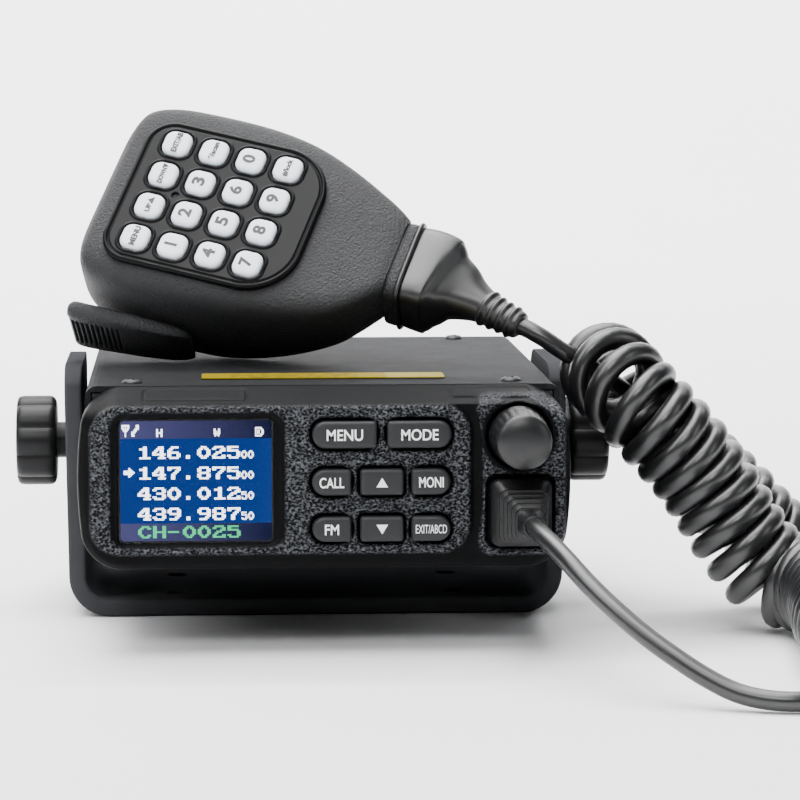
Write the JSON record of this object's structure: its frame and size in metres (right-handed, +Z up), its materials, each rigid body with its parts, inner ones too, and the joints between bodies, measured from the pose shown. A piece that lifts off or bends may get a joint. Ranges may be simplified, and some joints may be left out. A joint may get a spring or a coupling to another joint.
{
  "type": "mobile transceiver",
  "caption": "Compact mobile radio in a tilting U bracket, with a colour display, front keys and a knob, and a keypad hand microphone on a curly cord.",
  "frame": {"origin": "centre of the underside of the mounting bracket's base", "axes": "+Z up, the radio's front faces -Y, +X to the right seen from the front"},
  "size_m": [0.1825, 0.1939, 0.1057],
  "materials": {
    "moulded_plastic": "fine leather grain, matt black",
    "soft_rubber": "matt",
    "grey_key_rubber": "matt with white legends",
    "white_key_plastic": "translucent satin",
    "painted_sheet": "fine textured powder coat",
    "cast_alloy": "black anodised, satin",
    "bright_metal": "nickel plated",
    "circuit_board": "solder mask",
    "clear_window": "polished",
    "lit_display": "back-lit",
    "yellow_label": "printed film"
  },
  "bodies": {
    "radio": {"front_bezel": "moulded_plastic", "display_window": "clear_window", "display_module": "lit_display", "encoder_body": "cast_alloy", "mic_jack": "moulded_plastic", "top_cover": "painted_sheet", "chassis": "cast_alloy", "rear_panel": "painted_sheet", "fan_frame": "moulded_plastic", "antenna_socket": "bright_metal", "power_gland": "soft_rubber", "main_board": "circuit_board", "speaker": "cast_alloy", "rating_label": "yellow_label", "cover_screw_1": "cast_alloy", "cover_screw_2": "cast_alloy", "cover_screw_3": "cast_alloy", "cover_screw_4": "cast_alloy", "mic_plug": "soft_rubber", "lead_mic": "soft_rubber", "curly_cord": "soft_rubber", "lead_radio": "soft_rubber"},
    "bracket": {"mounting_bracket": "painted_sheet"},
    "clamp_right": {"clamp_knob_right": "moulded_plastic"},
    "clamp_left": {"clamp_knob_left": "moulded_plastic"},
    "encoder": {"encoder_shaft": "bright_metal"},
    "knob": {"volume_knob": "moulded_plastic"},
    "fan": {"fan_rotor": "moulded_plastic"},
    "microphone": {"mic_front_shell": "moulded_plastic", "mic_back_shell": "moulded_plastic", "keypad_panel": "moulded_plastic", "mic_board": "circuit_board", "mic_capsule": "bright_metal", "hang_stud": "bright_metal", "cord_boot": "soft_rubber"},
    "ptt": {"ptt_lever": "moulded_plastic"},
    "key_menu": {"key_menu": "grey_key_rubber"},
    "key_mode": {"key_mode": "grey_key_rubber"},
    "key_call": {"key_call": "grey_key_rubber"},
    "key_up": {"key_up": "grey_key_rubber"},
    "key_moni": {"key_moni": "grey_key_rubber"},
    "key_fm": {"key_fm": "grey_key_rubber"},
    "key_down": {"key_down": "grey_key_rubber"},
    "key_exit": {"key_exit": "grey_key_rubber"},
    "mic_key_menu": {"mic_key_menu": "white_key_plastic"},
    "mic_key_step_up": {"mic_key_step_up": "white_key_plastic"},
    "mic_key_step_down": {"mic_key_step_down": "white_key_plastic"},
    "mic_key_exit": {"mic_key_exit": "white_key_plastic"},
    "mic_key_1": {"mic_key_1": "white_key_plastic"},
    "mic_key_2": {"mic_key_2": "white_key_plastic"},
    "mic_key_3": {"mic_key_3": "white_key_plastic"},
    "mic_key_star": {"mic_key_star": "white_key_plastic"},
    "mic_key_4": {"mic_key_4": "white_key_plastic"},
    "mic_key_5": {"mic_key_5": "white_key_plastic"},
    "mic_key_6": {"mic_key_6": "white_key_plastic"},
    "mic_key_0": {"mic_key_0": "white_key_plastic"},
    "mic_key_7": {"mic_key_7": "white_key_plastic"},
    "mic_key_8": {"mic_key_8": "white_key_plastic"},
    "mic_key_9": {"mic_key_9": "white_key_plastic"},
    "mic_key_hash": {"mic_key_hash": "white_key_plastic"}
  },
  "joints": [
    {"name": "bracket_tilt", "type": "hinge", "parent": "radio", "child": "bracket", "pos_m": [0, 0, 0.0357], "axis": [1, 0, 0], "range_deg": [-15, 6]},
    {"name": "clamp_right_turn", "type": "hinge", "parent": "bracket", "child": "clamp_right", "pos_m": [0.06, 0, 0.0357], "axis": [1, 0, 0], "continuous": true},
    {"name": "clamp_left_turn", "type": "hinge", "parent": "bracket", "child": "clamp_left", "pos_m": [-0.06, 0, 0.0357], "axis": [-1, 0, 0], "continuous": true},
    {"name": "encoder_push", "type": "slide", "parent": "radio", "child": "encoder", "axis": [0, 1, 0], "range_m": [0, 0.0006], "stiffness_N_per_m": 2500},
    {"name": "volume_turn", "type": "hinge", "parent": "encoder", "child": "knob", "pos_m": [0.0386, -0.077, 0.0444], "axis": [0, -1, 0], "continuous": true},
    {"name": "fan_spin", "type": "hinge", "parent": "radio", "child": "fan", "pos_m": [-0.0215, 0.04, 0.0363], "axis": [0, 1, 0], "continuous": true},
    {"name": "key_menu_press", "type": "slide", "parent": "radio", "child": "key_menu", "axis": [0, 1, 0], "range_m": [0, 0.0008], "stiffness_N_per_m": 1800},
    {"name": "key_mode_press", "type": "slide", "parent": "radio", "child": "key_mode", "axis": [0, 1, 0], "range_m": [0, 0.0008], "stiffness_N_per_m": 1800},
    {"name": "key_call_press", "type": "slide", "parent": "radio", "child": "key_call", "axis": [0, 1, 0], "range_m": [0, 0.0008], "stiffness_N_per_m": 1800},
    {"name": "key_up_press", "type": "slide", "parent": "radio", "child": "key_up", "axis": [0, 1, 0], "range_m": [0, 0.0008], "stiffness_N_per_m": 1800},
    {"name": "key_moni_press", "type": "slide", "parent": "radio", "child": "key_moni", "axis": [0, 1, 0], "range_m": [0, 0.0008], "stiffness_N_per_m": 1800},
    {"name": "key_fm_press", "type": "slide", "parent": "radio", "child": "key_fm", "axis": [0, 1, 0], "range_m": [0, 0.0008], "stiffness_N_per_m": 1800},
    {"name": "key_down_press", "type": "slide", "parent": "radio", "child": "key_down", "axis": [0, 1, 0], "range_m": [0, 0.0008], "stiffness_N_per_m": 1800},
    {"name": "key_exit_press", "type": "slide", "parent": "radio", "child": "key_exit", "axis": [0, 1, 0], "range_m": [0, 0.0008], "stiffness_N_per_m": 1800},
    {"name": "mic_lift", "type": "slide", "parent": "radio", "child": "microphone", "axis": [0, 0, 1], "range_m": [0, 0.03]},
    {"name": "ptt_press", "type": "hinge", "parent": "microphone", "child": "ptt", "pos_m": [-0.02645, -0.01634, 0.05912], "axis": [0.1213, 0.7738, -0.6217], "range_deg": [0, 3.5], "stiffness_Nm_per_rad": 1.5},
    {"name": "mic_key_menu_press", "type": "slide", "parent": "microphone", "child": "mic_key_menu", "axis": [0.1213, 0.7738, -0.6217], "range_m": [0, 0.0005], "stiffness_N_per_m": 1500},
    {"name": "mic_key_step_up_press", "type": "slide", "parent": "microphone", "child": "mic_key_step_up", "axis": [0.1213, 0.7738, -0.6217], "range_m": [0, 0.0005], "stiffness_N_per_m": 1500},
    {"name": "mic_key_step_down_press", "type": "slide", "parent": "microphone", "child": "mic_key_step_down", "axis": [0.1213, 0.7738, -0.6217], "range_m": [0, 0.0005], "stiffness_N_per_m": 1500},
    {"name": "mic_key_exit_press", "type": "slide", "parent": "microphone", "child": "mic_key_exit", "axis": [0.1213, 0.7738, -0.6217], "range_m": [0, 0.0005], "stiffness_N_per_m": 1500},
    {"name": "mic_key_1_press", "type": "slide", "parent": "microphone", "child": "mic_key_1", "axis": [0.1213, 0.7738, -0.6217], "range_m": [0, 0.0005], "stiffness_N_per_m": 1500},
    {"name": "mic_key_2_press", "type": "slide", "parent": "microphone", "child": "mic_key_2", "axis": [0.1213, 0.7738, -0.6217], "range_m": [0, 0.0005], "stiffness_N_per_m": 1500},
    {"name": "mic_key_3_press", "type": "slide", "parent": "microphone", "child": "mic_key_3", "axis": [0.1213, 0.7738, -0.6217], "range_m": [0, 0.0005], "stiffness_N_per_m": 1500},
    {"name": "mic_key_star_press", "type": "slide", "parent": "microphone", "child": "mic_key_star", "axis": [0.1213, 0.7738, -0.6217], "range_m": [0, 0.0005], "stiffness_N_per_m": 1500},
    {"name": "mic_key_4_press", "type": "slide", "parent": "microphone", "child": "mic_key_4", "axis": [0.1213, 0.7738, -0.6217], "range_m": [0, 0.0005], "stiffness_N_per_m": 1500},
    {"name": "mic_key_5_press", "type": "slide", "parent": "microphone", "child": "mic_key_5", "axis": [0.1213, 0.7738, -0.6217], "range_m": [0, 0.0005], "stiffness_N_per_m": 1500},
    {"name": "mic_key_6_press", "type": "slide", "parent": "microphone", "child": "mic_key_6", "axis": [0.1213, 0.7738, -0.6217], "range_m": [0, 0.0005], "stiffness_N_per_m": 1500},
    {"name": "mic_key_0_press", "type": "slide", "parent": "microphone", "child": "mic_key_0", "axis": [0.1213, 0.7738, -0.6217], "range_m": [0, 0.0005], "stiffness_N_per_m": 1500},
    {"name": "mic_key_7_press", "type": "slide", "parent": "microphone", "child": "mic_key_7", "axis": [0.1213, 0.7738, -0.6217], "range_m": [0, 0.0005], "stiffness_N_per_m": 1500},
    {"name": "mic_key_8_press", "type": "slide", "parent": "microphone", "child": "mic_key_8", "axis": [0.1213, 0.7738, -0.6217], "range_m": [0, 0.0005], "stiffness_N_per_m": 1500},
    {"name": "mic_key_9_press", "type": "slide", "parent": "microphone", "child": "mic_key_9", "axis": [0.1213, 0.7738, -0.6217], "range_m": [0, 0.0005], "stiffness_N_per_m": 1500},
    {"name": "mic_key_hash_press", "type": "slide", "parent": "microphone", "child": "mic_key_hash", "axis": [0.1213, 0.7738, -0.6217], "range_m": [0, 0.0005], "stiffness_N_per_m": 1500}
  ]
}
